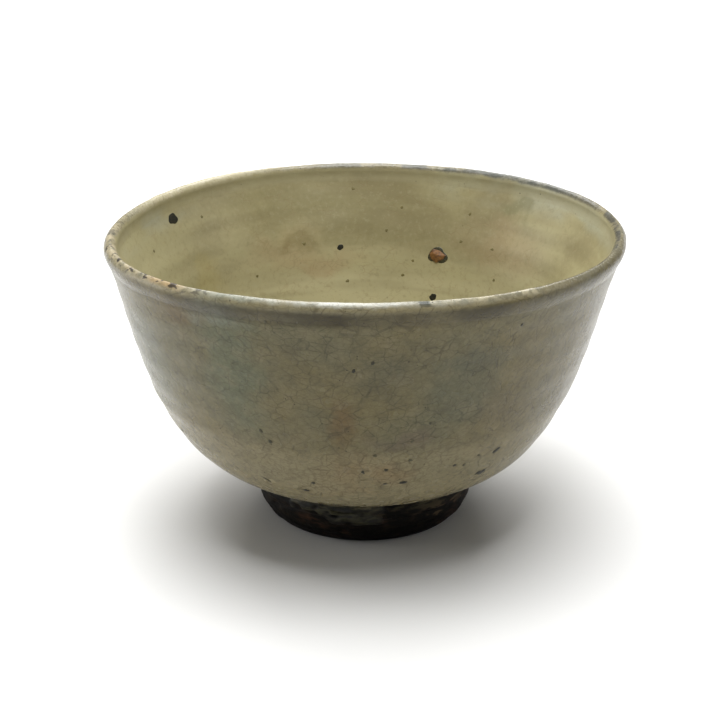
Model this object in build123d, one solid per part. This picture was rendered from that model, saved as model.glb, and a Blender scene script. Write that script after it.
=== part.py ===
from build123d import *
import os

# Matcha bowl (chawan): hand-thrown stoneware with a trimmed foot and a crackled glaze.
# Millimetres. +Z is up. The origin is on the bowl's axis, in the plane that the foot stands on.
# Angles run round the bowl from +X towards +Y; the front of the bowl faces -Y, at 270 degrees.

# ---- the bowl as a whole ----
RIM_DIAMETER = 124.0        # over the rolled lip
BOWL_HEIGHT = 73.6          # from the table to the lip's crest

# ---- the outside of the wall, from the waist up to the lip ----
WAIST_DIAMETER, WAIST_HEIGHT = 54.0, 11.8     # the hollow where the belly meets the foot
LEDGE_BOW, LEDGE_STATION = 3.16, 0.052        # how far the wall bows out past the straight line
BELLY_BOW, BELLY_STATION = 8.04, 0.177        # from the waist to the lip, at four stations
HIP_BOW, HIP_STATION = 9.60, 0.433            # along that line (0 at the waist, 1 at the lip)
CHEST_BOW, CHEST_STATION = 5.10, 0.738

# ---- the rolled lip ----
LIP_HEIGHT = 3.8            # the band between the wall and the crest
LIP_THICKNESS = 3.0         # through the lip, glaze on both faces
LIP_OVERHANG = 0.7          # how far the roll stands out past the wall under it
LIP_BULGE_DROP = 1.9        # from the crest down to the widest line of the roll

# ---- the clay and its coats ----
WALL_THICKNESS = 4.0        # clay at the belly, hip and chest
FLOOR_THICKNESS = 5.4       # clay under the well of the bowl
GLAZE_THICKNESS = 0.6
WASH_THICKNESS = 0.35       # the thin run of glaze on the foot

# ---- the foot ring ----
REST_DIAMETER = 47.4        # outside of the flat face that stands on the table
REST_WIDTH = 4.4            # across that face
FOOT_SWELL = 2.0            # how far the foot's side bows past a straight line
RECESS_DEPTH = 7.6          # from the table to the bare clay inside the ring
RECESS_DIAMETER = 34.0      # of that clay
FOOT_EDGE_RADIUS = 0.7      # the rubbed edges of the resting face

# ---- the run of glaze on the foot ----
WASH_START_ANGLE, WASH_SPAN = 226.0, 58.0
WASH_LOW = 5.5              # how near the run comes to the table

# ---- the stone burst through the inside glaze ----
STONE_DIAMETER = 4.4
STONE_ANGLE, STONE_RISE = 66.0, 0.676       # rise: 0 at the waist, 1 at the lip's base
STONE_PROUD = 0.5           # how far it stands out of the glaze

# ---- iron spots: angle, rise up the wall (as the stone's) and width of each ----
SPOT_SIDES = 8
INNER_SPOTS = [
    (152, 0.952, 2.4), (66, 0.486, 1.8), (97, 0.693, 1.4), (125, 0.606, 1.0),
    (95, 0.538, 1.0), (77, 0.572, 1.0), (83, 0.771, 1.0), (79, 0.875, 1.0),
    (58, 0.875, 1.0), (59, 0.753, 1.0), (48, 0.745, 1.0), (74, 0.642, 1.0),
    (108, 0.719, 1.0), (93, 0.952, 1.0), (167, 0.875, 1.0), (140, 0.917, 1.0),
    (45, 0.615, 1.0),
]
OUTER_SPOTS = [
    (250, 0.977, 1.0), (305, 0.926, 1.0), (268, 0.788, 1.1), (272, 0.822, 1.0),
    (245, 0.486, 1.1), (247, 0.443, 1.1), (308, 0.339, 1.2), (306, 0.228, 2.0),
    (295, 0.314, 1.0), (298, 0.305, 1.0), (241, 0.219, 1.6), (281, 0.254, 1.7),
    (253, 0.194, 1.2), (256, 0.245, 1.2), (276, 0.331, 1.0), (276, 0.254, 1.0),
    (270, 0.322, 1.0), (282, 0.374, 1.0), (273, 0.409, 1.0), (286, 0.546, 1.0),
    (302, 0.339, 1.0), (282, 0.469, 1.0), (35, 0.555, 1.2), (70, 0.279, 1.0),
    (110, 0.693, 1.2), (150, 0.401, 1.0), (185, 0.831, 1.0), (210, 0.314, 1.2),
]

RIM_RADIUS = RIM_DIAMETER / 2
LIP_BASE = BOWL_HEIGHT - LIP_HEIGHT
CLAY_BELOW_SURFACE = GLAZE_THICKNESS                  # depth of the clay's outside
CAVITY_DEPTH = GLAZE_THICKNESS + WALL_THICKNESS       # depth of the clay's inside
WELL_DEPTH = CAVITY_DEPTH + GLAZE_THICKNESS           # depth of the glazed inside
CLAY_WELL_HEIGHT = RECESS_DEPTH + FLOOR_THICKNESS     # the clay's inside, on the axis
TOOL_MARGIN = 3.0                                     # how far a cutting solid runs past its work


def on_section(radius, height):
    """A point of the section, in the XZ plane."""
    return Vector(radius, 0, height)


def up_the_wall(rise):
    """A height on the wall, from its waist at 0 to the lip's base at 1."""
    return WAIST_HEIGHT + rise * (LIP_BASE - WAIST_HEIGHT)


WAIST = on_section(WAIST_DIAMETER / 2, WAIST_HEIGHT)
LIP_FOOT = on_section(RIM_RADIUS - LIP_OVERHANG, LIP_BASE)


def bowed(bow, station):
    """A turn of the wall, bowed out past the straight line from the waist to the lip."""
    slope = (LIP_FOOT - WAIST).normalized()
    return WAIST + (LIP_FOOT - WAIST) * station + Vector(slope.Z, 0, -slope.X) * bow


WALL_TURNS = [
    WAIST,
    bowed(LEDGE_BOW, LEDGE_STATION),
    bowed(BELLY_BOW, BELLY_STATION),
    bowed(HIP_BOW, HIP_STATION),
    bowed(CHEST_BOW, CHEST_STATION),
    LIP_FOOT,
]
GLAZED_WALL = Spline(*WALL_TURNS)


def turns_at_depth(depth):
    """The ledge, belly, hip and chest turns, moved square into the wall by depth."""
    moved = []
    for turn in WALL_TURNS[1:-1]:
        upward = GLAZED_WALL.tangent_at(turn)
        moved.append(turn + Vector(-upward.Z, 0, upward.X) * depth)
    return moved


def outside_curve(depth):
    """The wall's outside from the waist to the lip's base, at a depth below the glazed surface."""
    inwards = Vector(-depth, 0, 0)
    return Spline(WAIST + inwards, *turns_at_depth(depth), LIP_FOOT + inwards)


def inside_curve(depth, well_height):
    """The bowl's inside from the axis, where it is level, past the belly to the lip's base."""
    well = on_section(0, well_height)
    lip_base = on_section(RIM_RADIUS - LIP_THICKNESS + WELL_DEPTH - depth, LIP_BASE)
    top = turns_at_depth(depth)[1:] + [lip_base]
    return Spline(well, *top, tangents=[(1, 0, 0), (top[-1] - top[-2]).normalized()])


def lip_curve(depth):
    """Round the lip from the outside of its base to the inside of its base."""
    crest_radius = RIM_RADIUS - LIP_THICKNESS / 2
    return Spline(
        on_section(RIM_RADIUS - LIP_OVERHANG - depth, LIP_BASE),
        on_section(RIM_RADIUS - depth, BOWL_HEIGHT - LIP_BULGE_DROP),
        on_section(crest_radius, BOWL_HEIGHT - depth),
        on_section(RIM_RADIUS - LIP_THICKNESS + depth, BOWL_HEIGHT - LIP_BULGE_DROP),
        on_section(RIM_RADIUS - LIP_THICKNESS + depth, LIP_BASE),
        tangents=[(1, 0, 1), (0, 0, 1), (-1, 0, 0), (0, 0, -1), (0, 0, -1)],
    )


def foot_side(swell):
    """The foot's outside, bowed, from the resting face up to the clay of the waist."""
    bottom = on_section(REST_DIAMETER / 2, 0)
    top = on_section(WAIST_DIAMETER / 2 - CLAY_BELOW_SURFACE, WAIST_HEIGHT)
    along = (top - bottom).normalized()
    middle = (bottom + top) / 2 + Vector(along.Z, 0, -along.X) * swell
    return ThreePointArc(bottom, middle, top)


def section_face(*curves):
    """A flat face of the section from curves that meet end to end and close."""
    return Face(Wire([edge for curve in curves for edge in curve.edges()]))


def skin_section(outer, inner):
    """The section between two curves that start and end side by side."""
    return section_face(outer, Line(outer @ 1, inner @ 1), inner, Line(inner @ 0, outer @ 0))


def all_clay():
    """The pot's clay, foot and body together."""
    foot = foot_side(FOOT_SWELL)
    wall = outside_curve(CLAY_BELOW_SURFACE)
    lip = lip_curve(GLAZE_THICKNESS)
    cavity = inside_curve(CAVITY_DEPTH, CLAY_WELL_HEIGHT)
    underside = Polyline(
        on_section(0, RECESS_DEPTH),
        on_section(RECESS_DIAMETER / 2, RECESS_DEPTH),
        on_section(REST_DIAMETER / 2 - REST_WIDTH, 0),
        on_section(REST_DIAMETER / 2, 0),
    )
    axis = Line(cavity @ 0, underside @ 0)
    section = section_face(underside, foot, wall, lip, cavity, axis)
    resting_corners = [corner for corner in section.vertices() if abs(corner.Z) < 1e-6]
    section = section.fillet_2d(FOOT_EDGE_RADIUS, resting_corners)
    return revolve(section, Axis.Z, 360)


def glaze_coat(outer, inner):
    """A full turn of glaze between two curves of the section."""
    return revolve(skin_section(outer, inner), Axis.Z, 360)


def foot_wash():
    """The thin run of glaze on part of the foot's outside, from the glaze edge down."""
    bare = foot_side(FOOT_SWELL)
    skin = skin_section(bare.moved(Pos(WASH_THICKNESS, 0, 0)), bare)
    run = Rot(Z=WASH_START_ANGLE) * revolve(skin, Axis.Z, WASH_SPAN)
    above = Plane.XY.offset(WASH_LOW)
    return split(run, bisect_by=above, keep=Keep.TOP)


def plug(angle, rise, width):
    """A many-sided rod from the axis out through the wall, which cuts one spot out of a coat."""
    a_little_askew = (0, 5, 1)
    across = Plane(origin=(0, 0, up_the_wall(rise)), x_dir=a_little_askew, z_dir=(1, 0, 0))
    outline = across * RegularPolygon(width / 2, SPOT_SIDES)
    return Rot(Z=angle) * extrude(outline, RIM_RADIUS + TOOL_MARGIN)


def spots_in(glaze, spots):
    """The spots as solids of their own, and the glaze with a hole for each."""
    tools = [plug(*spot) for spot in spots]
    pieces = []
    for tool in tools:
        pieces.extend((glaze & tool).solids())
    return pieces, glaze - tools


def stone():
    """A round stone that sits in the wall and stands a little way out of the inside glaze."""
    height = up_the_wall(STONE_RISE)
    ray = Line(on_section(0, height), on_section(RIM_RADIUS, height))
    surface = inside_curve(WELL_DEPTH, CLAY_WELL_HEIGHT + GLAZE_THICKNESS)
    glazed_radius = surface.find_intersection_points(ray)[0].X
    centre = glazed_radius - STONE_PROUD + STONE_DIAMETER / 2
    return Rot(Z=STONE_ANGLE) * Pos(centre, 0, height) * Sphere(STONE_DIAMETER / 2)


def build():
    clay = all_clay()
    outer = glaze_coat(outside_curve(0), outside_curve(CLAY_BELOW_SURFACE))
    inner = glaze_coat(
        inside_curve(CAVITY_DEPTH, CLAY_WELL_HEIGHT),
        inside_curve(WELL_DEPTH, CLAY_WELL_HEIGHT + GLAZE_THICKNESS),
    )
    outer_spots, outer = spots_in(outer, OUTER_SPOTS)
    inner_spots, inner = spots_in(inner, INNER_SPOTS)
    pebble = stone()
    foot_top = Plane.XY.offset(RECESS_DEPTH)
    return {
        "clay_body": split(clay, bisect_by=foot_top, keep=Keep.TOP) - pebble,
        "foot_ring": split(clay, bisect_by=foot_top, keep=Keep.BOTTOM),
        "inner_glaze": inner - pebble,
        "outer_glaze": outer,
        "lip_glaze": glaze_coat(lip_curve(0), lip_curve(GLAZE_THICKNESS)),
        "foot_glaze_wash": foot_wash(),
        "stone_inclusion": pebble,
        "inner_iron_spots": Compound(inner_spots),
        "outer_iron_spots": Compound(outer_spots),
    }


os.makedirs("parts", exist_ok=True)
for name, piece in build().items():
    export_step(piece, f"parts/{name}.step")
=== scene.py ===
import itertools
import math

import bmesh
import bpy
import numpy as np
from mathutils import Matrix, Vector
from mathutils.bvhtree import BVHTree


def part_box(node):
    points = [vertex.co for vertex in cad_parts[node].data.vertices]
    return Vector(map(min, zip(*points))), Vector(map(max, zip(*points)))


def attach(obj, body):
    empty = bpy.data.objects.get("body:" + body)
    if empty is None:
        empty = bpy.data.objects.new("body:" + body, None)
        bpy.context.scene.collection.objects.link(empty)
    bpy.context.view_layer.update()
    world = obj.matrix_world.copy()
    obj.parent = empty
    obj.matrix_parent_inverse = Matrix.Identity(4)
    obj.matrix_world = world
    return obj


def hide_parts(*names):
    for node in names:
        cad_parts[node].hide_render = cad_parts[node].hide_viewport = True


# A hand-thrown matcha bowl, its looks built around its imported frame. Metres, +Z up, the bowl's
# front towards -Y. A section is a list of (radius, height) points, turned round the bowl's axis.
# Angles run round the bowl from +X towards +Y, so the front is at 270 degrees.

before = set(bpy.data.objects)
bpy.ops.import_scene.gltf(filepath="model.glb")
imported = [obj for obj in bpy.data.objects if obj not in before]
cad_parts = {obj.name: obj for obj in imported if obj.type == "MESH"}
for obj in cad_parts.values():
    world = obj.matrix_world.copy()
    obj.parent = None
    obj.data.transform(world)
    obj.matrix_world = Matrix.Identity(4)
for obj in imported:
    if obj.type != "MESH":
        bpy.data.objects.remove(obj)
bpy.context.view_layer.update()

MM = 0.001
BODY = "root"

# ---- sizes read from the frame ----
RIM_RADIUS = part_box("lip_glaze")[1].x
CREST_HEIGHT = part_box("lip_glaze")[1].z
LIP_BASE_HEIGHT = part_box("lip_glaze")[0].z
WAIST_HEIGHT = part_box("outer_glaze")[0].z
JOINT_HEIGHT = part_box("foot_ring")[1].z

# ---- glaze ----
GLAZE = 0.6 * MM                # thickness of a coat, as in the frame
TUCK = 0.15 * MM                # how far a coat's hidden back sinks into the clay
EDGE_ROUND = 0.9 * MM           # the glaze edge above the foot rolls over this far
EDGE_BEAD = 0.22 * MM           # and swells by this much where it gathered
LIP_FLOW = 1.7 * MM             # the lip runs into the wall over this height each way of its base
LAP = 0.8 * MM                  # a coat runs on this far under the lip

# ---- the potter's hand: harmonics round the bowl, as (turns, cosine part, sine part) ----
OUT_OF_ROUND = [(2, 0.2 * MM, 0.5 * MM), (3, 1.1 * MM, -0.6 * MM), (4, 0.0, 1.0 * MM)]
RIM_WAVES = [(1, -0.5 * MM, -0.3 * MM), (2, -0.2 * MM, 0.4 * MM), (3, -0.3 * MM, 0.3 * MM)]
BELLY_LEAN = -0.5 * MM          # the belly sits this far to one side of the foot and the lip
WARP_GROWTH = 1.5               # how fast the unevenness grows from the waist to the lip

# ---- paints, as they look on a screen ----
# the third outside glaze colour is painted light: lighter glaze low on the belly, for the light the floor
# throws up onto it
GLAZE_WARM, GLAZE_COOL, GLAZE_BOUNCE_LIT = (107, 98, 65), (101, 96, 69), (146, 136, 105)
# the third inside glaze colour is painted light: lighter glaze lower in the well, for the light bounced
# off the bowl's bright bottom
WELL_LIGHT, WELL_DARK, WELL_BOUNCE_LIT = (144, 136, 100), (128, 119, 86), (172, 165, 130)
LIP_WARM, LIP_COOL = (127, 119, 92), (118, 114, 94)
BARE_DARK, BARE_BROWN = (9, 7, 5), (34, 26, 18)
# brown glaze gathered under the lip, darkened further as painted shade in the undercut
UNDERCUT_GLAZE_AND_SHADE = (46, 38, 8)

# ---- mesh density ----
SEGMENTS = 640                  # points round the rim
ROW = 0.6 * MM                  # between rows on a visible face
HIDDEN_ROW = 3.0 * MM           # between rows on a hidden back
FINE_ROW = 0.8 * MM             # between rows on the backs of the lip, and on the clay underneath
LIP_ROW = 0.25 * MM
FOOT_ROW = 0.4 * MM
HIDDEN_SEGMENTS = 160
PROFILE_POINTS = 80             # measured up a wall
BLOT_POINTS = 28                # round a spot


# ---- measuring the frame ----

def tree_of(node):
    return BVHTree.FromObject(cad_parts[node], bpy.context.evaluated_depsgraph_get())


def hit(tree, origin, direction):
    """Where a ray in the section plane meets a node, as (radius, height)."""
    found = tree.ray_cast(Vector(origin), Vector(direction).normalized())[0]
    return (math.hypot(found.x, found.y), found.z)


MEASURE_ANGLE = math.radians(197)       # a stretch of the bowl with no spot or wash on it
OUTWARD = Vector((math.cos(MEASURE_ANGLE), math.sin(MEASURE_ANGLE), 0))
UP = Vector((0, 0, 1))
FAR = 2 * RIM_RADIUS
HAIR = 0.02 * MM                        # keeps a ray off the very edge of a face
POLE = 0.4 * MM                         # radius of the ring of points nearest the axis
STAND_OFF = 12                          # mm from a section's middle, where a ray sent at it starts


def outside_profile(node, low, high):
    """The outside of a node from low to high."""
    tree = tree_of(node)
    heights = np.linspace(low + HAIR, high - HAIR, PROFILE_POINTS)
    return np.array([hit(tree, OUTWARD * FAR + UP * z, -OUTWARD) for z in heights])


def inside_profile(node, turn_radius):
    """The inside of a hollow node from its axis to its top, seen from above and then from the axis."""
    tree = tree_of(node)
    radii = np.linspace(POLE, turn_radius, 40)
    well = [hit(tree, OUTWARD * r + UP * CREST_HEIGHT, -UP) for r in radii]
    heights = np.linspace(well[-1][1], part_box(node)[1].z - HAIR, PROFILE_POINTS)[1:]
    wall = [hit(tree, UP * z, OUTWARD) for z in heights]
    return np.array(well + wall)


def profile_round(node, centre_radius, centre_height, start, end, count):
    """A node's surface as seen from all round one point of its section, angles in degrees."""
    tree = tree_of(node)
    centre = OUTWARD * centre_radius + UP * centre_height
    points = []
    for angle in np.radians(np.linspace(start, end, count)):
        direction = OUTWARD * math.cos(angle) + UP * math.sin(angle)
        points.append(hit(tree, centre + direction * STAND_OFF * MM, -direction))
    return np.array(points)


# ---- sections ----

def lengths(section):
    """Distance along a section at each of its points."""
    steps = np.linalg.norm(np.diff(section, axis=0), axis=1)
    return np.concatenate([[0], np.cumsum(steps)])


def resample(section, distances):
    along = lengths(section)
    return np.stack([np.interp(distances, along, section[:, k]) for k in (0, 1)], axis=1)


def evenly(section, spacing):
    total = lengths(section)[-1]
    return resample(section, np.linspace(0, total, max(2, round(total / spacing) + 1)))


def smooth(section, passes=12):
    """Irons out the small flats that a measured section has, with its ends kept."""
    section = section.copy()
    for _ in range(passes):
        section[1:-1] = (section[:-2] + 2 * section[1:-1] + section[2:]) / 4
    return section


def left_normals(section):
    """Unit vectors square to a section, on the left of its direction."""
    along = np.gradient(section, axis=0)
    along /= np.linalg.norm(along, axis=1, keepdims=True)
    return np.stack([-along[:, 1], along[:, 0]], axis=1)


def shifted(section, distance):
    return section + left_normals(section) * np.reshape(distance, (-1, 1))


def heading(start, end):
    """The direction from one point to another, one unit long."""
    return (end - start) / np.linalg.norm(end - start)


def lengthened(section, before, after):
    """A section carried on straight past its ends."""
    first = section[0] + heading(section[1], section[0]) * before
    last = section[-1] + heading(section[-2], section[-1]) * after
    return np.concatenate([[first], section, [last]])


# ---- relief: everything that makes the turned shapes look thrown by hand ----

def lumps(place, size, seed):
    """A smooth random field from -1 to 1 over points in space, with lumps about size across."""
    table = np.random.default_rng(seed).uniform(-1, 1, 4096)
    cell = np.floor(place / size).astype(np.int64)
    part = place / size - cell
    part = part * part * (3 - 2 * part)
    total = np.zeros(len(place))
    for corner in itertools.product((0, 1), repeat=3):
        index = ((cell + corner) @ np.array([73, 1571, 947])) % len(table)
        total += table[index] * np.prod(np.where(corner, part, 1 - part), axis=1)
    return total


def ease(value, low, high):
    """0 below low, 1 above high, smooth between; low may be the larger."""
    share = np.clip((value - low) / (high - low), 0, 1)
    return share * share * (3 - 2 * share)


def hand_lumps(place):
    """The slow unevenness that every layer of the wall shares."""
    return 0.20 * MM * lumps(place, 24 * MM, 1) + 0.06 * MM * lumps(place, 8 * MM, 2)


def harmonics(theta, terms):
    return sum(c * np.cos(turns * theta) + s * np.sin(turns * theta) for turns, c, s in terms)


def out_of_round(points):
    """Moves points as the soft wall was moved on the wheel: not at the foot, and most at the lip."""
    theta = np.arctan2(points[:, 1], points[:, 0])
    rise = np.clip((points[:, 2] - WAIST_HEIGHT) / (CREST_HEIGHT - WAIST_HEIGHT), 0, 1.05)
    share = rise ** WARP_GROWTH
    radius = np.hypot(points[:, 0], points[:, 1])
    grown = 1 + share * harmonics(theta, OUT_OF_ROUND) / np.maximum(radius, RIM_RADIUS / 4)
    moved = points.copy()
    moved[:, 0] = points[:, 0] * grown + BELLY_LEAN * np.sin(math.pi * np.clip(rise, 0, 1))
    moved[:, 1] = points[:, 1] * grown
    moved[:, 2] += share * harmonics(theta, RIM_WAVES)
    return moved


# ---- turned meshes ----

def ring_counts(radii, most, looped):
    """Points round each ring: most at the rim, halved again and again as the bowl narrows."""
    counts = []
    for radius, limit in zip(radii, np.broadcast_to(most, len(radii))):
        halvings = math.floor(math.log2(0.62 * RIM_RADIUS / radius))
        counts.append(int(limit) >> min(max(halvings, 0), 5))
    last = len(counts) - 1
    pairs = [(i, i + 1) for i in range(last)] + [(last, 0)] * looped
    pairs += [(j, i) for i, j in reversed(pairs)]
    for i, j in pairs * 2:
        counts[j] = max(counts[j], counts[i] // 2)
    return counts


def bridge(first, count, second, other):
    """Faces between two rings of points; one ring may have half as many points as the other."""
    if count < other:
        return [face[::-1] for face in bridge(second, other, first, count)]
    if count == other:
        return [
            (first + i, first + (i + 1) % count, second + (i + 1) % count, second + i)
            for i in range(count)
        ]
    faces = []
    for i in range(other):
        a, b, c = first + 2 * i, first + 2 * i + 1, first + (2 * i + 2) % count
        d, e = second + i, second + (i + 1) % other
        faces += [(a, b, d), (b, e, d), (b, c, e)]
    return faces


def round_axis(radius, theta, height):
    """Points of a section set at angles round the bowl's axis."""
    return np.stack([radius * np.cos(theta), radius * np.sin(theta), height], axis=1)


def points_per_ring(shown):
    """Fewer points on the rings that are hidden."""
    return np.where(shown, SEGMENTS, HIDDEN_SEGMENTS)


def mesh_object(name, points, faces):
    """A smooth-shaded closed mesh with its faces turned outwards."""
    mesh = bpy.data.meshes.new(name)
    mesh.from_pydata([tuple(p) for p in points], [], faces)
    shape = bmesh.new()
    shape.from_mesh(mesh)
    bmesh.ops.recalc_face_normals(shape, faces=shape.faces)
    shape.to_mesh(mesh)
    shape.free()
    mesh.shade_smooth()
    piece = bpy.data.objects.new(name, mesh)
    bpy.context.scene.collection.objects.link(piece)
    return piece


def mark(piece, name, values):
    """Keeps a number for each point of a piece, for its material."""
    kept = piece.data.attributes.new(name, "FLOAT", "POINT")
    kept.data.foreach_set("value", np.asarray(values, dtype=np.float32))


def turned(name, section, relief, most=SEGMENTS, looped=False, slide=None, along=None, warp=True):
    """Turns a section into a closed mesh.

    relief gives each point's height to the left of the section, slide how far it moves along it,
    and along is kept on the mesh for its material. A looped section closes on itself; any other
    starts and ends beside the axis.
    """
    counts = ring_counts(section[:, 0], most, looped)
    rows = np.repeat(np.arange(len(counts)), counts)
    theta = np.concatenate([np.arange(n) * (2 * math.pi / n) for n in counts])
    normals = left_normals(section)
    if looped:
        wrapped = np.concatenate([section[-2:], section, section[:2]])
        normals = left_normals(wrapped)[2:-2]
    radius, height = section[rows].T
    place = round_axis(radius, theta, height)
    lift = relief(theta, rows, place)
    radius = radius + lift * normals[rows, 0]
    height = height + lift * normals[rows, 1]
    if slide is not None:
        moved = slide(theta, rows, place)
        radius = radius + moved * normals[rows, 1]
        height = height - moved * normals[rows, 0]
    points = round_axis(radius, theta, height)
    starts = np.concatenate([[0], np.cumsum(counts)[:-1]])
    faces = []
    for i in range(len(counts) - 1):
        faces += bridge(starts[i], counts[i], starts[i + 1], counts[i + 1])
    if looped:
        faces += bridge(starts[-1], counts[-1], starts[0], counts[0])
    else:
        for start, count in ((starts[0], counts[0]), (starts[-1], counts[-1])):
            centre = len(points)
            level = points[start:start + count, 2].mean()
            points = np.concatenate([points, [[0, 0, level]]])
            faces += [(start + i, start + (i + 1) % count, centre) for i in range(count)]
    if warp:
        points = out_of_round(points)
    piece = mesh_object(name, points, faces)
    if along is not None:
        mark(piece, "along", along[rows])
    return piece


# ---- surfaces that pieces are laid on ----

def outer_relief(theta, place):
    """Throwing marks on the outside: faint rings, and the soft break where the wall turns in."""
    height = place[:, 2]
    risen = ease(height, WAIST_HEIGHT, WAIST_HEIGHT + 6 * MM)
    fade = risen * ease(height, LIP_BASE_HEIGHT, LIP_BASE_HEIGHT - 6 * MM)
    wobble = lumps(place, 18 * MM, 5)
    rings = 0.05 * MM * np.sin(2 * math.pi * height / (6.4 * MM) + theta + 1.8 * wobble)
    hip_break = 0.16 * MM * np.exp(-((height - 37 * MM) / (2.2 * MM)) ** 2)
    fine = 0.018 * MM * lumps(place, 2.6 * MM, 6)
    return hand_lumps(place) + fade * (rings + hip_break + fine)


def inner_relief(theta, place):
    """Throwing rings inside, strongest low in the wall."""
    height = place[:, 2]
    fade = ease(height, LIP_BASE_HEIGHT, LIP_BASE_HEIGHT - 5 * MM)
    wobble = lumps(place, 20 * MM, 8)
    rings = 0.045 * MM * np.sin(2 * math.pi * height / (7.5 * MM) - theta + 1.5 * wobble)
    return hand_lumps(place) + fade * (rings + 0.02 * MM * lumps(place, 3 * MM, 9))


def foot_relief(theta, place):
    """Torn, trimmed clay: streaks drawn out round the foot, grains and small tears; rubbed flat
    where it stands on the table."""
    drawn = place * [0.3, 0.3, 1.0]
    streaks = 0.16 * MM * lumps(drawn, 1.1 * MM, 11) + 0.09 * MM * lumps(drawn, 0.5 * MM, 12)
    grains = 0.05 * MM * lumps(place, 0.7 * MM, 13)
    tears = -0.30 * MM * ease(lumps(drawn, 1.6 * MM, 14), 0.40, 0.70)
    rubbed = 0.1 + 0.9 * ease(place[:, 2], 0.05 * MM, 1.2 * MM)
    return rubbed * (0.12 * MM * lumps(place, 7 * MM, 15) + streaks + grains + tears)


class Surface:
    """One face of the bowl, addressed by angle and by distance along its section."""

    def __init__(self, section, side, relief, warped=True):
        self.section, self.side, self.relief, self.warped = section, side, relief, warped
        self.along = lengths(section)
        self.normals = left_normals(section) * side

    def at_height(self, height):
        """Distance along the section, near its rising end, of a height."""
        rising = self.section[:, 1] >= np.maximum.accumulate(self.section[:, 1]) - 1e-9
        return float(np.interp(height, self.section[rising, 1], self.along[rising]))

    def radius(self, along):
        return float(np.interp(along, self.along, self.section[:, 0]))

    def points(self, theta, along, lift):
        radius, height = (np.interp(along, self.along, self.section[:, k]) for k in (0, 1))
        out_r, out_z = (np.interp(along, self.along, self.normals[:, k]) for k in (0, 1))
        base = round_axis(radius, theta, height)
        lift = lift + self.relief(theta, base)
        radius, height = radius + lift * out_r, height + lift * out_z
        points = round_axis(radius, theta, height)
        return out_of_round(points) if self.warped else points


def curve_between(start, leaving, end, arriving, count=16):
    """A smooth curve that leaves start and arrives at end in the given directions."""
    reach = np.linalg.norm(end - start) / 3
    t = np.linspace(0, 1, count)[:, None]
    near, far = start + leaving * reach, end - arriving * reach
    return (1 - t) ** 3 * start + 3 * t * (1 - t) ** 2 * near + 3 * t * t * (1 - t) * far + t ** 3 * end


def flowing_into(lip, walls):
    """The lip's section carried down into the walls on both sides, so no crease is left."""
    kept = lip[lip[:, 1] > LIP_BASE_HEIGHT + LIP_FLOW]
    ends = []
    for wall, depth in walls:
        below = wall[wall[:, 1] < LIP_BASE_HEIGHT - LIP_FLOW]
        up = heading(below[-4], below[-1])
        ends.append((shifted(below, depth)[-1], up))
    rising = heading(kept[0], kept[1])
    falling = heading(kept[-2], kept[-1])
    outer = curve_between(ends[0][0], ends[0][1], kept[0], rising)
    inner = curve_between(kept[-1], falling, ends[1][0], -ends[1][1])
    return np.concatenate([outer[:-1], kept, inner[1:]])


wall_outside = smooth(outside_profile("outer_glaze", WAIST_HEIGHT, LIP_BASE_HEIGHT))
wall_inside = smooth(inside_profile("inner_glaze", RIM_RADIUS / 2))
LIP_CENTRE = (RIM_RADIUS - 1.5 * MM, CREST_HEIGHT - 1.9 * MM)
RING_MIDDLE = 21.8 * MM         # radius of a point inside the foot ring's section
SIDE_START = 1.4 * MM           # the foot's side is measured from this height up
WORN_ANGLE = 212                # degrees, where the lip is most worn
lip_outside = smooth(profile_round("lip_glaze", *LIP_CENTRE, -64, 228, 120), 3)
waist_side = outside_profile("clay_body", JOINT_HEIGHT, WAIST_HEIGHT)
foot_side = np.concatenate([outside_profile("foot_ring", SIDE_START, JOINT_HEIGHT), waist_side])
OUTSIDE = Surface(wall_outside, -1, outer_relief)
INSIDE = Surface(wall_inside, 1, inner_relief)
FOOT = Surface(smooth(foot_side, 4), -1, foot_relief, warped=False)


# ---- the turned pieces ----

def closed_coat(face, thickness, spacing=HIDDEN_ROW):
    """A coat's section: its face and then its back, sunk into the clay; and which points show."""
    back = shifted(evenly(face, spacing), thickness + math.copysign(TUCK, thickness))[::-1]
    return np.concatenate([face, back]), np.arange(len(face) + len(back)) < len(face)


def rolled_edge(face):
    """The foot end of the outside coat, gathered in a bead and rolled over to nothing."""
    fine = np.arange(0, 2.5 * EDGE_ROUND, 0.15 * MM)
    rest = np.arange(2.5 * EDGE_ROUND, lengths(face)[-1], ROW)
    face = resample(face, np.concatenate([fine, rest, [lengths(face)[-1]]]))
    distance = lengths(face)
    roll = 1 - np.clip(distance / EDGE_ROUND, 0, 1)
    bead = EDGE_BEAD * np.exp(-((distance - 1.2 * EDGE_ROUND) / (0.8 * EDGE_ROUND)) ** 2)
    return shifted(face, GLAZE * (1 - np.sqrt(1 - roll ** 2)) - bead)


def outer_glaze_piece():
    face = rolled_edge(lengthened(wall_outside, 0, LAP))
    section, shown = closed_coat(face, GLAZE)
    along = np.interp(section[:, 1], face[:, 1], lengths(face))

    def relief(theta, rows, place):
        return np.where(shown[rows], -outer_relief(theta, place), hand_lumps(place))

    def slide(theta, rows, place):
        ring = np.stack([np.cos(theta), np.sin(theta), 0 * theta], axis=1) * 28 * MM
        ragged = 0.75 * MM * lumps(ring, 6 * MM, 21) + 0.35 * MM * lumps(ring, 1.7 * MM, 22)
        return ragged * np.exp(-along[rows] / (2.0 * MM)) * np.where(shown[rows], -1, 1)

    most = points_per_ring(shown)
    return turned("outer_glaze_coat", section, relief, most, looped=True, slide=slide, along=along)


def inner_glaze_piece():
    face = evenly(lengthened(wall_inside, 0, LAP), ROW)
    section, shown = closed_coat(face, -GLAZE)

    def relief(theta, rows, place):
        return np.where(shown[rows], inner_relief(theta, place), -hand_lumps(place))

    return turned("inner_glaze_coat", section, relief, points_per_ring(shown))


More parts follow.
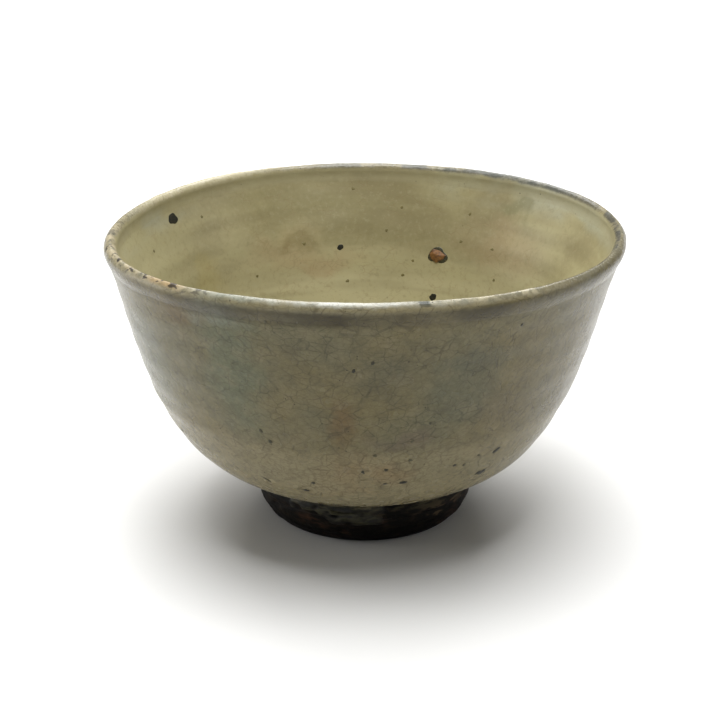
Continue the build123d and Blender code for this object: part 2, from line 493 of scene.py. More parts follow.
def lip_piece():
    """The rolled lip: small lumps all round, and pits where the glaze burst and wore."""
    sunk = 0.08 * MM
    face = evenly(flowing_into(lip_outside, [(wall_outside, sunk), (wall_inside, -sunk)]), LIP_ROW)
    section, shown = closed_coat(face, GLAZE, FINE_ROW)
    distance = lengths(face)
    from_crest = distance - distance[np.argmax(face[:, 1])]
    hidden = np.zeros(len(section) - len(face))
    along = np.concatenate([from_crest, hidden])
    share = np.concatenate([np.clip(np.sin(math.pi * distance / distance[-1]), 0, 1) ** 0.5, hidden])

    def relief(theta, rows, place):
        worn = ease(np.cos(theta - math.radians(WORN_ANGLE)), 0.75, 0.95)
        bumps = 0.08 * MM * lumps(place, 5 * MM, 31) + 0.04 * MM * lumps(place, 1.5 * MM, 32)
        crown = np.exp(-(along[rows] / (1.6 * MM)) ** 2)
        pits = -0.35 * MM * ease(lumps(place, 1.0 * MM, 33), 0.5, 0.8) * (0.05 + 0.95 * worn * crown)
        shape = hand_lumps(place) + share[rows] * (bumps + pits)
        return np.where(shown[rows], -shape, hand_lumps(place))

    return turned("rolled_lip", section, relief, points_per_ring(shown), looped=True, along=along)


def foot_piece():
    round_it = profile_round("foot_ring", RING_MIDDLE, JOINT_HEIGHT / 2, -180, 180, 361)
    section = evenly(round_it, FOOT_ROW)[:-1]

    def relief(theta, rows, place):
        return -foot_relief(theta, place)

    piece = turned("foot_ring_clay", section, relief, 2 * SEGMENTS, looped=True, warp=False)
    for vertex in piece.data.vertices:
        vertex.co.z = max(vertex.co.z, 0)
    return piece


def clay_piece():
    """The clay under the coats, bare only at the waist and inside the foot ring."""
    underside = np.array([(POLE, JOINT_HEIGHT), (waist_side[0, 0], JOINT_HEIGHT)])
    bare = np.concatenate([evenly(underside, FINE_ROW), evenly(waist_side, FOOT_ROW)[1:]])
    wall = evenly(shifted(wall_outside, GLAZE), HIDDEN_ROW)
    core = evenly(shifted(lip_outside, GLAZE), FINE_ROW)
    cavity = evenly(shifted(wall_inside, -GLAZE)[::-1], HIDDEN_ROW)
    section = np.concatenate([bare, wall[1:-1], core[1:-1], cavity[1:]])
    shown = np.arange(len(section)) < len(bare)

    def relief(theta, rows, place):
        return -np.where(shown[rows], foot_relief(theta, place), hand_lumps(place))

    return turned("thrown_clay", section, relief, points_per_ring(shown))


# ---- spots, stone and the run of glaze on the foot ----

def solids_of(node):
    """The centre and width of each separate solid of a node."""
    shape = bmesh.new()
    shape.from_mesh(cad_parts[node].data)
    bmesh.ops.remove_doubles(shape, verts=shape.verts, dist=0.001 * MM)
    left, found = set(shape.verts), []
    while left:
        group, edge = set(), [left.pop()]
        while edge:
            vertex = edge.pop()
            group.add(vertex)
            near = {link.other_vert(vertex) for link in vertex.link_edges} & left
            left -= near
            edge += near
        corners = np.array([tuple(vertex.co) for vertex in group])
        low, high = corners.min(axis=0), corners.max(axis=0)
        found.append(((low + high) / 2, (high - low)[2]))
    shape.free()
    return sorted(found, key=lambda solid: tuple(solid[0]))


def blob(surface, theta, along, half, tilt, dome, rng):
    """A ragged blot on a surface as a closed shell: half is its half length and half width."""
    count = BLOT_POINTS
    turn = np.arange(count) * 2 * math.pi / count
    ragged = 1 + sum(rng.uniform(-0.16, 0.16) * np.cos(k * turn + rng.uniform(0, 6.3)) for k in (2, 3, 5))
    root = -0.22 * MM
    levels = [                          # share of the width, and height above the surface
        (0.0, root), (0.9, root), (1.0, -0.02 * MM), (0.9, dome * 0.45), (0.6, dome * 0.8), (0.25, dome),
    ]
    radius = surface.radius(along)
    rings = []
    for share, lift in levels:
        u = half[0] * share * ragged * np.cos(turn)
        v = half[1] * share * ragged * np.sin(turn)
        sideways = u * math.cos(tilt) - v * math.sin(tilt)
        upward = u * math.sin(tilt) + v * math.cos(tilt)
        rings.append(surface.points(theta + sideways / radius, along + upward, np.full(count, lift)))
    points = np.concatenate([[rings[0].mean(axis=0)]] + rings[1:] + [[rings[-1].mean(axis=0)]])
    faces = [(0, 1 + (i + 1) % count, 1 + i) for i in range(count)]
    for ring in range(len(levels) - 2):
        faces += bridge(1 + ring * count, count, 1 + (ring + 1) * count, count)
    start = 1 + (len(levels) - 2) * count
    faces += [(start + i, start + (i + 1) % count, len(points) - 1) for i in range(count)]
    return points, faces


def joined(name, shells):
    points, faces, start = [], [], 0
    for shell_points, shell_faces in shells:
        faces += [tuple(start + i for i in face) for face in shell_faces]
        points.append(shell_points)
        start += len(shell_points)
    return mesh_object(name, np.concatenate(points), faces)


# Spots with a shape of their own: angle, height, half length, half width, tilt, in degrees and mm.
OWN_SHAPES = [
    (241, 24.5, 1.35, 0.32, -38), (306, 25.0, 1.60, 0.95, 14), (308, 31.5, 1.15, 0.70, 30),
    (253, 23.0, 0.85, 0.50, 0), (281, 26.5, 0.95, 0.60, 0), (152, 67.0, 2.10, 1.60, 0),
    (66, 40.0, 1.05, 1.00, 0), (97, 51.9, 0.90, 0.80, 0),
]


def spots_piece(name, node, surface, tones, seed):
    rng = np.random.default_rng(seed)
    shells, pale = [], []
    for centre, width in solids_of(node):
        theta = math.atan2(centre[1], centre[0])
        tone = rng.uniform(*tones)
        half, tilt = width * rng.uniform(0.36, 0.52, 2), rng.uniform(-1, 1)
        for angle, height, length, breadth, lean in OWN_SHAPES:
            apart = abs((math.degrees(theta) - angle + 180) % 360 - 180)
            if apart < 1.2 and abs(centre[2] / MM - height) < 0.8:
                half, tilt, tone = (length * MM, breadth * MM), math.radians(lean), 0.0
        along = surface.at_height(centre[2])
        shells.append(blob(surface, theta, along, half, tilt, 0.07 * MM, rng))
        pale += [tone] * len(shells[-1][0])
    piece = joined(name, shells)
    mark(piece, "pale", pale)
    return piece


def stone_piece():
    """A split grain of stone in a dark, melted rim."""
    low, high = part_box("stone_inclusion")
    centre, size = (low + high) / 2, (high - low)[2]
    theta, along = math.atan2(centre.y, centre.x), INSIDE.at_height(centre.z)
    rng = np.random.default_rng(66)
    rim_points, rim_faces = blob(INSIDE, theta, along, (0.66 * size, 0.50 * size), -0.3, 0.10 * MM, rng)
    around = np.array([
        (-1.0, 0.1), (-0.62, 0.85), (0.15, 0.72), (1.0, 0.15), (0.72, -0.45), (-0.1, -1.0), (-0.7, -0.55),
    ])
    ridge = np.array([(-0.45, 0.25), (0.25, 0.05), (0.1, -0.45)])
    radius, half = INSIDE.radius(along), 0.47 * size
    chip = []
    for outline, lift in ((around, -0.4 * MM), (around * 0.97, 0.22 * MM), (ridge, 0.62 * MM)):
        angles = theta - 1.2 * outline[:, 0] * half / radius
        rows = along + outline[:, 1] * half
        chip.append(INSIDE.points(angles, rows, np.full(len(outline), lift)))
    shape = bmesh.new()
    corners = [shape.verts.new(point) for point in np.concatenate(chip)]
    bmesh.ops.convex_hull(shape, input=corners)
    shape.verts.ensure_lookup_table()
    kept = [vertex for vertex in shape.verts if vertex.link_faces]
    number = {vertex: i for i, vertex in enumerate(kept)}
    chip_points = np.array([tuple(vertex.co) for vertex in kept])
    chip_faces = [tuple(number[vertex] for vertex in face.verts) for face in shape.faces]
    shape.free()
    piece = joined("burst_stone", [(rim_points, rim_faces), (chip_points, chip_faces)])
    mark(piece, "bare", [0.0] * len(rim_points) + [1.0] * len(chip_points))
    for face in piece.data.polygons:
        face.use_smooth = face.vertices[0] < len(rim_points)
    return piece


def wash_piece():
    """Glaze that ran down the foot: a sheet that dips into the clay wherever the run is not."""
    low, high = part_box("foot_glaze_wash")
    corners = [math.atan2(v.co.y, v.co.x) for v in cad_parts["foot_glaze_wash"].data.vertices]
    first, last = min(corners), max(corners)
    bottom, top = FOOT.at_height(low.z), FOOT.along[-1]
    columns, rows = 300, 44
    theta, along = np.meshgrid(np.linspace(first, last, columns), np.linspace(bottom, top, rows))
    theta, along = theta.ravel(), along.ravel()
    flat = FOOT.points(theta, along, np.zeros(len(theta)))
    from_left = (theta - first) * FOOT.radius(bottom)
    from_right = (last - theta) * FOOT.radius(bottom)
    ragged_end = from_right + 2.5 * MM * lumps(flat, 2.0 * MM, 43)
    ends = ease(from_left, 0, 2.0 * MM) * ease(ragged_end, 0, 7.0 * MM)
    turned_round = flat @ np.array([[0.8, 0.6, 0], [-0.6, 0.8, 0], [0, 0, 1]])
    cover = 0.8 * lumps(turned_round * [0.3, 0.3, 1.0], 1.7 * MM, 41)
    cover += 0.5 * lumps(turned_round * [0.5, 0.5, 1.0], 0.8 * MM, 42)
    cover += 1.9 * (along - bottom) / (top - bottom) - 0.45
    cover = ease(cover, -0.2, 0.7) * ends * ease(from_right, 0, 1.0 * MM)
    cover *= ease(along - bottom, 0, 0.8 * MM)
    face = FOOT.points(theta, along, 0.26 * MM * cover - 0.05 * MM)
    back = FOOT.points(theta, along, np.full(len(theta), -0.30 * MM))
    count = columns * rows
    faces = []
    for j in range(rows - 1):
        for i in range(columns - 1):
            a = j * columns + i
            quad = (a, a + 1, a + columns + 1, a + columns)
            faces += [quad, tuple(count + k for k in quad[::-1])]
    border = list(range(columns)) + [j * columns + columns - 1 for j in range(1, rows)]
    border += [(rows - 1) * columns + i for i in range(columns - 2, -1, -1)]
    border += [j * columns for j in range(rows - 2, 0, -1)]
    for a, b in zip(border, border[1:] + border[:1]):
        faces.append((b, a, count + a, count + b))
    piece = mesh_object("foot_wash", np.concatenate([face, back]), faces)
    mark(piece, "cover", np.concatenate([cover, cover]))
    return piece


# ---- materials ----

GLAZE_SHINE, LIP_SHINE, CLAY_SHINE, DULL_SHINE = 0.28, 0.34, 0.12, 0.25
PLAIN_SHINE = 0.5                       # the shader's own, as of plain glass
RELIEF_DEPTH = 0.05 * MM                # of the finest relief, which the materials carry
WELL_WALL = 52 * MM                     # radius at which most marks on the inside are laid


class Number:
    """A value that a material works out at each place; sums of it become shader nodes."""

    def __init__(self, look, socket):
        self.look, self.socket = look, socket

    def __add__(self, other):
        return self.look.math("ADD", self, other)

    def __sub__(self, other):
        return self.look.math("SUBTRACT", self, other)

    def __mul__(self, other):
        return self.look.math("MULTIPLY", self, other)

    def __rsub__(self, other):
        return self.look.math("SUBTRACT", other, self)

    __radd__, __rmul__ = __add__, __mul__


def paint(red, green, blue):
    """A colour given as it looks on a screen, 0 to 255."""
    shares = [c / 255 for c in (red, green, blue)]
    linear = [c / 12.92 if c <= 0.04045 else ((c + 0.055) / 1.055) ** 2.4 for c in shares]
    return (*linear, 1)


class Look:
    """One material and the places it is worked out at."""

    def __init__(self, name):
        self.material = bpy.data.materials.new(name)
        self.material.use_nodes = True
        self.tree = self.material.node_tree
        self.shader = self.tree.nodes["Principled BSDF"]
        self.place = self.node("ShaderNodeTexCoord", {}, "Object")
        inputs = {"Vector": self.place, "Scale": 1 / (9 * MM), "Detail": 3.0}
        blur = self.node("ShaderNodeTexNoise", inputs, "Color")
        offset = self.vector("SUBTRACT", blur, (0.5, 0.5, 0.5))
        self.strayed = self.vector("MULTIPLY_ADD", offset, (14 * MM, 14 * MM, 14 * MM), self.place)

    def feed(self, socket, value):
        value = value.socket if isinstance(value, Number) else value
        if isinstance(value, bpy.types.NodeSocket):
            self.tree.links.new(value, socket)
        else:
            socket.default_value = value

    def node(self, kind, inputs, out=0, **settings):
        node = self.tree.nodes.new(kind)
        for key, value in settings.items():
            setattr(node, key, value)
        for key, value in inputs.items():
            self.feed(node.inputs[key], value)
        return node.outputs[out]

    def math(self, operation, a, b=0.0):
        return Number(self, self.node("ShaderNodeMath", {0: a, 1: b}, operation=operation))

    def vector(self, operation, a, b=(0, 0, 0), c=(0, 0, 0)):
        return self.node("ShaderNodeVectorMath", {0: a, 1: b, 2: c}, operation=operation)

    def ramp(self, value, low, high):
        """0 at low, 1 at high, smooth between; low may be the larger."""
        inputs = {"Value": value, "From Min": low, "From Max": high}
        return Number(self, self.node("ShaderNodeMapRange", inputs, interpolation_type="SMOOTHSTEP"))

    def noise(self, size, seed, stretch=(1, 1, 1), detail=2.0, roughness=0.5):
        """A cloudy value about 0.5, with clouds about size across."""
        moved = self.vector("MULTIPLY_ADD", self.place, stretch, (0.31 * seed, 0.17 * seed, 0.23 * seed))
        inputs = {"Vector": moved, "Scale": 1 / size, "Detail": detail, "Roughness": roughness}
        return Number(self, self.node("ShaderNodeTexNoise", inputs))

    def patch(self, angle, height, half_width, half_height, softness=0.6, radius=55 * MM):
        """1 on a ragged oval of the wall, 0 off it; lengths in millimetres, angle in degrees."""
        turn = math.radians(angle)
        centre = (radius * math.cos(turn), radius * math.sin(turn), height * MM)
        inputs = {
            "Vector": self.strayed, "Location": centre, "Rotation": (0, 0, turn),
            "Scale": (25 * MM, half_width * MM, half_height * MM),
        }
        local = self.node("ShaderNodeMapping", inputs, vector_type="TEXTURE")
        far = self.node("ShaderNodeVectorMath", {0: local}, "Value", operation="LENGTH")
        return self.ramp(far, 1 + softness, 1 - softness)

    def flecks(self, spacing, share, low, high, seed):
        """Small round dots: one in some of the cells of a random lattice."""
        moved = self.vector("ADD", self.place, (0.11 * seed, 0.07 * seed, 0.05 * seed))
        inputs = {"Vector": moved, "Scale": 1 / spacing}
        distance = self.node("ShaderNodeTexVoronoi", inputs, "Distance")
        chosen = self.node("ShaderNodeSeparateColor", {"Color": distance.node.outputs["Color"]}, "Red")
        return self.ramp(distance, high / spacing, low / spacing) * self.ramp(chosen, share, share - 0.02)

    def cracks(self, place, cell, half_width):
        """Thin lines round the cells of a random lattice."""
        inputs = {"Vector": place, "Scale": 1 / cell}
        edge = self.node("ShaderNodeTexVoronoi", inputs, "Distance", feature="DISTANCE_TO_EDGE")
        return self.ramp(edge, 2.2 * half_width / cell, 0.5 * half_width / cell)

    def height(self):
        return Number(self, self.node("ShaderNodeSeparateXYZ", {"Vector": self.place}, "Z"))

    def attribute(self, name):
        return Number(self, self.node("ShaderNodeAttribute", {}, "Fac", attribute_name=name))

    def mix(self, below, above, share):
        """Lays one colour over another."""
        inputs = {0: share, 6: below, 7: above}
        return self.node("ShaderNodeMix", inputs, 2, data_type="RGBA")

    def layers(self, colour, coats):
        for above, share in coats:
            colour = self.mix(colour, paint(*above), share)
        return colour

    def finish(self, colour, roughness, bump=None, bump_depth=0.0, shine=PLAIN_SHINE):
        self.feed(self.shader.inputs["Base Color"], colour)
        self.feed(self.shader.inputs["Roughness"], roughness)
        self.feed(self.shader.inputs["Specular IOR Level"], shine)
        if bump is not None:
            inputs = {"Height": bump, "Distance": bump_depth, "Strength": 1.0}
            self.feed(self.shader.inputs["Normal"], self.node("ShaderNodeBump", inputs))
        return self.material


def crackle_place(look):
    """Places for the crackle: lying flat at the front and climbing both ways round the bowl."""
    flat = look.vector("MULTIPLY", look.place, (1, 1, 0))
    around = look.node("ShaderNodeSeparateXYZ", {"Vector": look.vector("NORMALIZE", flat)}, "Y")
    parts = look.node("ShaderNodeSeparateXYZ", {"Vector": look.place}).node.outputs
    climb = Number(look, parts["Z"]) - Number(look, around) * (42 * MM)
    stray = look.noise(3 * MM, 61) * (1.3 * MM)
    x, y = Number(look, parts["X"]) * 0.62, Number(look, parts["Y"]) * 0.62
    return look.node("ShaderNodeCombineXYZ", {"X": x + stray, "Y": y, "Z": climb + stray})


def under_lip_glaze_and_shade(look):
    """How strongly the brown glaze under the lip, and the painted shade in its undercut, show round the
    bowl.
    """
    broken = 0.35 + 0.65 * look.ramp(look.noise(11 * MM, 5), 0.30, 0.62)
    return broken * (0.30 + 0.70 * look.patch(276, 70, 38, 9, 0.9))


def outer_coat(look):
    """The outside glaze: its colour, roughness and relief."""
    ramp, patch = look.ramp, look.patch
    height = look.height()
    clouds = look.noise(16 * MM, 1, (0.7, 0.7, 1), 4.0, 0.6)
    fine = look.noise(0.9 * MM, 2, detail=3.0, roughness=0.7)
    colour = look.mix(paint(*GLAZE_WARM), paint(*GLAZE_COOL), ramp(clouds, 0.40, 0.64))
    colour = look.layers(colour, [
        ((90, 97, 75), 0.70 * patch(241, 56, 6.5, 17)),                # cool band, left front
        ((92, 97, 79), 0.60 * patch(211, 51, 10, 12)),
        ((76, 76, 59), 0.45 * patch(275, 58, 7, 6)),
        ((82, 85, 66), 0.60 * patch(292, 50, 9, 9)),
        ((80, 82, 66), 0.50 * patch(297, 58, 9, 3)),
        ((92, 79, 66), 0.55 * patch(278, 40, 6, 2.6)),                 # a blush of pink
        ((116, 106, 77), 0.55 * patch(262, 33, 30, 6)),
        ((90, 80, 45), 0.50 * patch(340, 50, 26, 22, 0.9)),
        ((142, 130, 102), 0.45 * patch(256, 24, 20, 5, 0.9)),
        ((90, 80, 55), 0.40 * patch(305, 43, 9, 6)),
        ((98, 73, 37), 0.60 * patch(265, 44.5, 2.6, 4.5, 0.8)),        # rust stains
        ((112, 86, 48), 0.60 * patch(266, 30, 5, 5, 0.9)),
        ((110, 82, 44), 0.70 * patch(277, 30, 3.2, 3.5, 0.9)),
        ((102, 76, 38), 0.65 * patch(266, 23, 8, 1.6, 0.8)),
        ((94, 74, 40), 0.70 * patch(229, 68, 6, 3, 0.8)),
        ((118, 124, 112), 0.60 * patch(238, 69, 5, 2.4, 0.9)),
    ])
    # painted light: the outside glaze made lighter low on the belly, for the light the floor throws up
    # onto it
    floor_bounce_light = ramp(height, 38 * MM, 33 * MM) * 0.38 + ramp(height, 30 * MM, 16 * MM) * 0.50
    mottle = look.noise(3.4 * MM, 12, detail=3.0, roughness=0.6)
    crackle = look.cracks(crackle_place(look), 2.2 * MM, 0.05 * MM)
    crackle = crackle * ramp(look.noise(6 * MM, 7), 0.30, 0.55)
    finer = look.cracks(crackle_place(look), 1.1 * MM, 0.04 * MM)
    pores = look.flecks(1.9 * MM, 0.35, 0.10 * MM, 0.22 * MM, 8)
    rust = look.flecks(4.5 * MM, 0.30, 0.12 * MM, 0.38 * MM, 9)
    # the undercut below the lip: brown glaze, with painted shade under the lip's overhang
    undercut_glaze_and_shade = ramp(height, 67.6 * MM, 69.6 * MM) * ramp(height, 72.7 * MM, 71.3 * MM)
    undercut_glaze_and_shade = undercut_glaze_and_shade * under_lip_glaze_and_shade(look)
    colour = look.layers(colour, [
        (GLAZE_BOUNCE_LIT, floor_bounce_light),
        ((122, 112, 84), 0.30 * ramp(mottle, 0.50, 0.66)),
        ((76, 70, 49), 0.30 * ramp(mottle, 0.50, 0.36)),
        ((120, 111, 84), 0.34 * ramp(fine, 0.5, 0.72)),
        ((70, 62, 42), 0.36 * ramp(fine, 0.5, 0.30)),
        ((150, 142, 118), 0.35 * ramp(height, 71.6 * MM, 72.6 * MM)),
        (UNDERCUT_GLAZE_AND_SHADE, 0.96 * undercut_glaze_and_shade),
        ((38, 31, 19), 0.36 * crackle),
        ((44, 37, 24), 0.20 * finer),
        ((24, 19, 13), 0.85 * pores),
        ((60, 40, 20), 0.50 * rust),
    ])
    roughness = look.noise(6 * MM, 10) * 0.16 + 0.18
    relief = fine * 0.12 - crackle * 0.5 - finer * 0.25 - pores * 0.3 + look.noise(2.5 * MM, 11) * 0.8
    return colour, roughness, relief


def outer_glaze_look():
    look = Look("outer_glaze")
    colour, roughness, relief = outer_coat(look)
    edge = look.attribute("along")
    torn = look.noise(1.6 * MM, 6, (0.35, 0.35, 1), 3.0)
    colour = look.layers(colour, [
        ((146, 132, 100), 0.8 * look.ramp(edge, 1.6 * MM, 0.9 * MM) * look.ramp(torn, 0.46, 0.54)),
        ((36, 30, 20), 0.9 * look.ramp(edge, 1.1 * MM, 0.3 * MM) * look.ramp(torn, 0.56, 0.48)),
    ])
    return look.finish(colour, roughness, relief, RELIEF_DEPTH, GLAZE_SHINE)


def inner_coat(look):
    """The inside glaze: its colour, roughness and relief."""
    ramp, patch = look.ramp, look.patch
    height = look.height()
    clouds = look.noise(15 * MM, 21, (0.55, 0.55, 1), 4.0, 0.55)
    bands = look.noise(5 * MM, 22, (0.12, 0.12, 1), 2.0)
    fine = look.noise(1.3 * MM, 23, detail=3.0, roughness=0.65)
    colour = look.mix(paint(*WELL_LIGHT), paint(*WELL_DARK), ramp(clouds, 0.40, 0.64))
    # painted light: the inside glaze made lighter lower in the well, for the light bounced off the bowl's
    # bright bottom
    well_bounce_light = ramp(height, 60 * MM, 40 * MM) * (0.35 + 0.65 * ramp(height, 18 * MM, 36 * MM))
    colour = look.mix(colour, paint(*WELL_BOUNCE_LIT), 0.75 * well_bounce_light)
    veil = ramp(look.noise(6 * MM, 24, (0.4, 0.4, 1)), 0.36, 0.60)
    veil = veil * ramp(height, 64 * MM, 68.5 * MM)
    colour = look.layers(colour, [
        ((114, 107, 74), 0.32 * ramp(bands, 0.50, 0.66)),
        ((164, 158, 120), 0.30 * ramp(bands, 0.48, 0.34)),
        ((114, 106, 72), 0.50 * patch(100, 63, 26, 6, radius=WELL_WALL)),
        ((104, 99, 64), 0.55 * patch(112.8, 53.2, 5, 1.4, radius=WELL_WALL)),
        ((152, 130, 94), 0.30 * patch(116, 52, 8, 4, 0.9, radius=WELL_WALL)),
        ((150, 128, 94), 0.40 * patch(103, 48, 9, 3, radius=50 * MM)),
        ((150, 130, 96), 0.40 * patch(45, 56, 12, 6, radius=WELL_WALL)),
        ((152, 138, 84), 0.40 * patch(146, 50, 5, 4, radius=WELL_WALL)),
        ((166, 160, 126), 0.55 * patch(182, 58, 32, 15, 0.9, radius=WELL_WALL)),
        ((150, 152, 132), 0.55 * veil * patch(33, 68, 34, 7)),
        ((116, 112, 78), 0.70 * patch(44, 66, 3.4, 2)),
        ((146, 148, 132), 0.50 * veil * patch(165, 69, 20, 4)),
        ((160, 155, 124), 0.22 * ramp(fine, 0.52, 0.70)),
        ((116, 108, 74), 0.28 * ramp(fine, 0.48, 0.32)),
    ])
    crackle = look.cracks(crackle_place(look), 2.0 * MM, 0.05 * MM)
    crackle = crackle * ramp(look.noise(6 * MM, 26), 0.42, 0.66)
    pores = look.flecks(4.0 * MM, 0.30, 0.14 * MM, 0.36 * MM, 27)
    colour = look.layers(colour, [
        ((118, 96, 62), 0.20 * crackle),
        ((104, 94, 58), 0.50 * pores),
    ])
    roughness = look.noise(8 * MM, 28) * 0.16 + 0.30
    relief = fine * 0.05 - crackle * 0.2 - pores * 0.4 + look.noise(3 * MM, 29) * 0.6
    return colour, roughness, relief


def inner_glaze_look():
    look = Look("inner_glaze")
    colour, roughness, relief = inner_coat(look)
    return look.finish(colour, roughness, relief, RELIEF_DEPTH)


def lip_look():
    """The worn lip, fading into the outside glaze on one side and the inside glaze on the other."""
    look = Look("lip_glaze")
    ramp, patch = look.ramp, look.patch
    along = look.attribute("along")
    clouds = look.noise(7 * MM, 41, detail=4.0)
    fine = look.noise(0.8 * MM, 42, detail=3.0, roughness=0.7)
    ragged = ramp(look.noise(2.4 * MM, 49, detail=3.0), 0.42, 0.56)
    worn = patch(WORN_ANGLE, 73, 30, 7, 0.5)
    slate = ramp(look.noise(4 * MM, 45, (0.5, 0.5, 1)), 0.40, 0.54)
    stray = (look.noise(2.0 * MM, 50, detail=3.0) - 0.5) * (2.0 * MM)
    inside = ramp(along + stray, 0.9 * MM, 2.2 * MM)
    outside = ramp(along + stray, -0.7 * MM, -2.1 * MM)
    colour = look.mix(paint(*LIP_WARM), paint(*LIP_COOL), ramp(clouds, 0.42, 0.6))
    colour = look.layers(colour, [
        # painted highlight: the near crest of the lip made pale and bluish where the lights above and
        # behind glint on it
        ((196, 196, 184), 0.30 * patch(266, 73.5, 24, 2.5)),
        ((206, 210, 204), 0.40 * patch(262, 73.5, 12, 2.5)),
        ((104, 106, 99), 0.75 * patch(44, 73, 16, 5)),                  # slate, far right
        ((96, 92, 76), 0.7 * patch(330, 72, 32, 5)),
        ((188, 180, 152), 0.7 * patch(140, 73, 26, 5)),
        ((158, 147, 120), 0.85 * worn * ramp(look.noise(3 * MM, 43), 0.40, 0.52)),
        ((150, 122, 78), 0.7 * patch(226, 73, 6, 3)),
        ((138, 144, 132), 0.6 * patch(241, 72.5, 8, 3.5, 0.9)),
        ((168, 160, 134), 0.8 * patch(298, 73.4, 14, 2.0) * ragged),
        ((46, 54, 50), 0.85 * patch(281.5, 73.0, 1.4, 0.8, 0.5)),
        ((170, 162, 140), 0.30 * ramp(fine, 0.52, 0.7)),
        ((66, 59, 43), 0.35 * ramp(fine, 0.48, 0.32)),
    ])
    outer, outer_rough, outer_bump = outer_coat(look)
    inner, inner_rough, inner_bump = inner_coat(look)
    colour = look.mix(colour, outer, outside)
    colour = look.mix(colour, inner, inside)
    # painted light: the lip's inner face made lighter against the shade that falls on it
    inner_face_light = ramp(along, 1.4 * MM, 2.6 * MM) * ramp(along, 6.4 * MM, 4.0 * MM)
    colour = look.mix(colour, paint(182, 176, 146), 0.35 * inner_face_light)
    band = ramp(along, -0.4 * MM, 0.3 * MM) * ramp(along, 1.9 * MM, 1.1 * MM)
    pits = 0.9 * worn * ramp(look.noise(1.1 * MM, 46, (0.6, 0.6, 1), 3.0), 0.55, 0.61)
    pits = pits * ramp(along, -3.0 * MM, -0.8 * MM) * ramp(along, 2.0 * MM, 1.0 * MM)
    colour = look.layers(colour, [
        ((58, 58, 54), 0.80 * band * patch(345, 73, 46, 8) * slate),
        ((70, 72, 68), 0.75 * band * patch(60, 73, 40, 8) * slate),
        ((36, 31, 27), pits),
        ((46, 40, 32), 0.8 * look.flecks(1.6 * MM, 0.25, 0.10 * MM, 0.24 * MM, 47)),
    ])
    roughness = ramp(fine, 0.35, 0.65) * 0.16 + 0.12 + worn * 0.25
    roughness = roughness + outside * (outer_rough - roughness) + inside * (inner_rough - roughness)
    grain = look.noise(0.55 * MM, 48, detail=2.0) * 1.4 + fine
    relief = grain + outside * (outer_bump - grain) + inside * (inner_bump - grain)
    return look.finish(colour, roughness, relief, RELIEF_DEPTH, LIP_SHINE)


def bare_clay(look):
    """The colour of the torn clay of the foot."""
    streaks = look.noise(1.2 * MM, 51, (0.30, 0.30, 1), 4.0, 0.65)
    patches = look.noise(6 * MM, 52, (0.7, 0.7, 1), 3.0)
    grains = look.noise(0.45 * MM, 53, detail=2.0)
    low = look.ramp(look.height(), 6.5 * MM, 2.0 * MM)
    tan = look.patch(318, 7.5, 8, 3.5, radius=26 * MM)
    grey = 0.5 * look.patch(294, 10, 12, 2.2, radius=27 * MM)
    colour = look.mix(paint(*BARE_DARK), paint(*BARE_BROWN), look.ramp(streaks, 0.44, 0.66))
    colour = look.layers(colour, [
        ((70, 46, 31), 0.55 * look.ramp(patches, 0.54, 0.70) * look.ramp(streaks, 0.42, 0.6)),
        ((104, 88, 66), 0.50 * tan * look.ramp(streaks, 0.48, 0.58)),
        ((66, 62, 44), grey * look.ramp(streaks, 0.46, 0.58)),
        ((3, 3, 2), 0.95 * low * look.ramp(patches, 0.70, 0.45)),
        ((4, 3, 3), 0.8 * look.ramp(streaks, 0.44, 0.32)),
        ((92, 74, 56), 0.15 * look.ramp(grains, 0.62, 0.72)),
    ])
    return colour, grains * 0.25 + 0.55, grains + streaks


def bare_clay_look(name):
    look = Look(name)
    colour, roughness, relief = bare_clay(look)
    return look.finish(colour, roughness, relief, 0.08 * MM, CLAY_SHINE)


def wash_look():
    """A thin smear of glaze; where it is thinnest the clay shows through."""
    look = Look("wash_glaze")
    clay, clay_rough, clay_relief = bare_clay(look)
    streaks = look.noise(1.0 * MM, 71, (0.25, 0.25, 1), 4.0, 0.65)
    broad = look.noise(3.5 * MM, 72, (0.25, 0.25, 1), 2.0)
    thick = look.ramp(look.attribute("cover") + streaks * 0.9, 0.65, 1.35)
    top = 0.55 * look.ramp(look.height(), 8.6 * MM, 11.0 * MM)
    colour = look.mix(paint(28, 27, 18), paint(55, 53, 35), look.ramp(streaks, 0.42, 0.60))
    colour = look.layers(colour, [
        ((16, 15, 12), 0.85 * look.ramp(streaks, 0.47, 0.38)),
        ((20, 18, 14), 0.70 * look.ramp(broad, 0.52, 0.40)),
        ((96, 88, 64), top * look.ramp(streaks, 0.48, 0.60)),
    ])
    colour = look.mix(clay, colour, thick)
    roughness = clay_rough + thick * (0.36 - clay_rough)
    return look.finish(colour, roughness, streaks + clay_relief, 0.06 * MM, DULL_SHINE)


def spot_look():
    look = Look("iron_spot")
    fine = look.noise(0.6 * MM, 81, detail=3.0)
    colour = look.mix(paint(26, 28, 22), paint(46, 42, 29), look.ramp(fine, 0.42, 0.66))
    colour = look.mix(colour, paint(112, 104, 68), look.attribute("pale"))
    return look.finish(colour, fine * 0.2 + 0.3, fine, 0.03 * MM, DULL_SHINE)


def stone_look():
    look = Look("burst_stone")
    fine = look.noise(0.7 * MM, 91, detail=4.0, roughness=0.7)
    stone = look.mix(paint(120, 82, 40), paint(78, 51, 27), look.ramp(fine, 0.40, 0.66))
    rim = look.mix(paint(40, 42, 28), paint(84, 76, 48), look.ramp(fine, 0.45, 0.7))
    colour = look.mix(rim, stone, look.attribute("bare"))
    return look.finish(colour, fine * 0.2 + 0.3, fine, 0.05 * MM)


# ---- stage, camera and light ----

CAMERA_DISTANCE = 0.400
CAMERA_ELEVATION = math.radians(21.49)
CAMERA_LENS = 79.9                      # on a sensor 36 mm wide
CAMERA_SHIFT = (-0.0066, 0.0076)


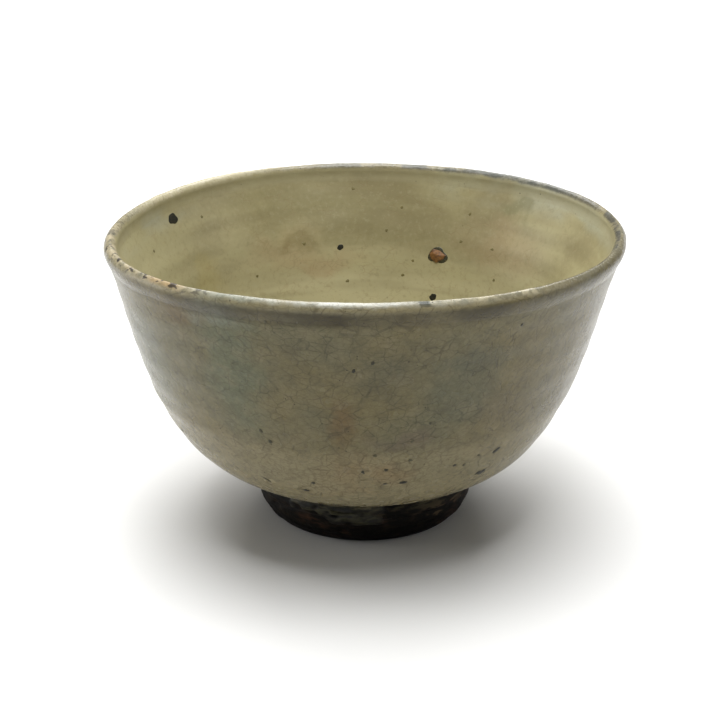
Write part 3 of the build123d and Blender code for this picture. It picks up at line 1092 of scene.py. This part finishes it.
def add_camera():
    camera = bpy.data.objects.new("camera", bpy.data.cameras.new("camera"))
    target = Vector((0, 0, CREST_HEIGHT / 2))
    back = Vector((0, -math.cos(CAMERA_ELEVATION), math.sin(CAMERA_ELEVATION)))
    camera.location = target + back * CAMERA_DISTANCE
    camera.rotation_euler = back.to_track_quat("Z", "Y").to_euler()
    camera.data.lens = CAMERA_LENS
    camera.data.sensor_width = 36
    camera.data.shift_x, camera.data.shift_y = CAMERA_SHIFT
    camera.data.clip_start = 0.01
    bpy.context.scene.collection.objects.link(camera)
    bpy.context.scene.camera = camera


def add_softbox(name, location, size, power, target=(0, 0, 0.04)):
    lamp = bpy.data.lights.new(name, "AREA")
    lamp.shape = "RECTANGLE"
    lamp.size, lamp.size_y = size
    lamp.energy = power
    light = bpy.data.objects.new(name, lamp)
    light.location = location
    light.rotation_euler = (Vector(location) - Vector(target)).to_track_quat("Z", "Y").to_euler()
    bpy.context.scene.collection.objects.link(light)


def add_stage():
    add_camera()
    bpy.ops.mesh.primitive_plane_add(size=8)
    floor = bpy.context.object
    floor.name = "floor"
    look = Look("pale_floor")
    floor.data.materials.append(look.finish((0.70, 0.70, 0.69, 1), 0.9))
    world = bpy.data.worlds.new("studio")
    world.use_nodes = True
    world.node_tree.nodes["Background"].inputs["Color"].default_value = (1, 1, 1, 1)
    world.node_tree.nodes["Background"].inputs["Strength"].default_value = 0.18
    bpy.context.scene.world = world
    add_softbox("top", (-0.04, -0.06, 0.90), (0.70, 0.55), 12.5)
    add_softbox("left", (-0.80, 0.06, 0.14), (0.5, 0.5), 2.4)
    add_softbox("right", (0.80, 0.06, 0.14), (0.5, 0.5), 0.8)
    add_softbox("backdrop", (0.0, 1.1, 1.3), (2.0, 0.8), 34, (0.0, 0.75, 0.0))
    bpy.context.scene.view_settings.view_transform = "Standard"


def put(piece, node, material):
    """Puts a finished piece on the body, in place of its CAD node."""
    piece.data.materials.append(material)
    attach(piece, BODY)
    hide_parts(node)


add_stage()
put(clay_piece(), "clay_body", bare_clay_look("stoneware_clay"))
put(foot_piece(), "foot_ring", bare_clay_look("bare_foot_clay"))
put(outer_glaze_piece(), "outer_glaze", outer_glaze_look())
put(inner_glaze_piece(), "inner_glaze", inner_glaze_look())
put(lip_piece(), "lip_glaze", lip_look())
put(wash_piece(), "foot_glaze_wash", wash_look())
put(stone_piece(), "stone_inclusion", stone_look())
dark_spot = spot_look()
spots = spots_piece("spots_inside", "inner_iron_spots", INSIDE, (0.75, 1.0), 3)
put(spots, "inner_iron_spots", dark_spot)
spots = spots_piece("spots_outside", "outer_iron_spots", OUTSIDE, (0.0, 0.35), 4)
put(spots, "outer_iron_spots", dark_spot)
